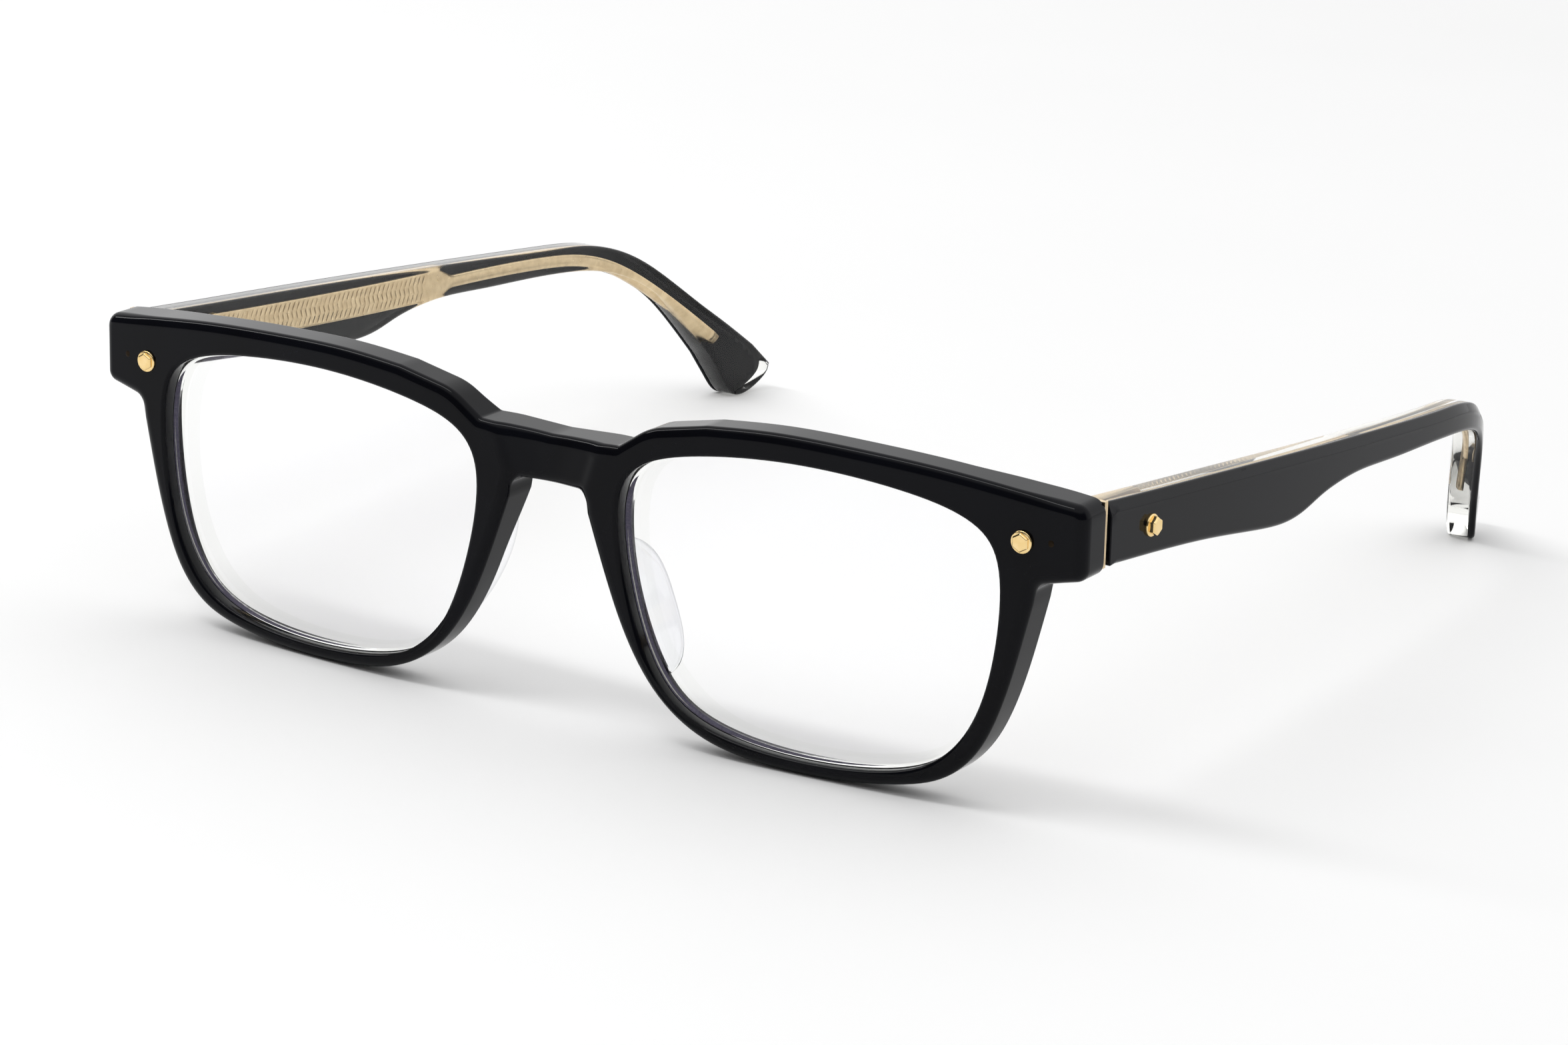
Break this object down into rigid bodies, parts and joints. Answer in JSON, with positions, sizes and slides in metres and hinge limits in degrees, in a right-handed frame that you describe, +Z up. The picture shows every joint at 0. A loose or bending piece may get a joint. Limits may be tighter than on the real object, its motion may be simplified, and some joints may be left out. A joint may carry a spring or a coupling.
{
  "type": "eyeglasses",
  "caption": "Full-rim rectangular eyeglasses with riveted studs, two-layer temples with a metal core, and hinged temples that fold behind the front.",
  "frame": {"origin": "middle of the footprint on the surface that the open glasses stand on", "axes": "+X to the wearer's left, +Y from the front back towards the ears, +Z up; the front faces -Y"},
  "size_m": [0.144, 0.1364, 0.0405],
  "materials": {
    "black_acetate": "polished",
    "clear_acetate": "polished, transparent",
    "lens": "anti-reflection coated",
    "champagne_gold": "satin, plated",
    "polished_gold": "polished, plated",
    "dark_brass": "dull",
    "hinge_metal": "satin, plated",
    "screw_metal": "satin, plated"
  },
  "bodies": {
    "front": {"front_frame": "black_acetate", "lens_left": "lens", "lens_right": "lens", "nose_pad_left": "clear_acetate", "nose_pad_right": "clear_acetate", "end_plate_left": "champagne_gold", "end_plate_right": "champagne_gold", "plate_pin_left": "dark_brass", "plate_pin_right": "dark_brass", "front_rivet_left": "polished_gold", "front_rivet_right": "polished_gold", "hinge_front_leaf_left": "hinge_metal", "hinge_front_leaf_right": "hinge_metal", "hinge_screw_left": "screw_metal", "hinge_screw_right": "screw_metal"},
    "temple_left": {"temple_outer_left": "black_acetate", "temple_inner_left": "clear_acetate", "core_wire_left": "champagne_gold", "hinge_temple_leaf_left": "hinge_metal", "temple_rivet_left": "polished_gold"},
    "temple_right": {"temple_outer_right": "black_acetate", "temple_inner_right": "clear_acetate", "core_wire_right": "champagne_gold", "hinge_temple_leaf_right": "hinge_metal", "temple_rivet_right": "polished_gold"}
  },
  "joints": [
    {"name": "fold_left", "type": "hinge", "parent": "front", "child": "temple_left", "pos_m": [0.0649, -0.05819, 0.03296], "axis": [0, 0.0112, 0.9999], "range_deg": [0, 87]},
    {"name": "fold_right", "type": "hinge", "parent": "front", "child": "temple_right", "pos_m": [-0.0649, -0.05819, 0.03296], "axis": [0, -0.0112, -0.9999], "range_deg": [0, 74]}
  ]
}
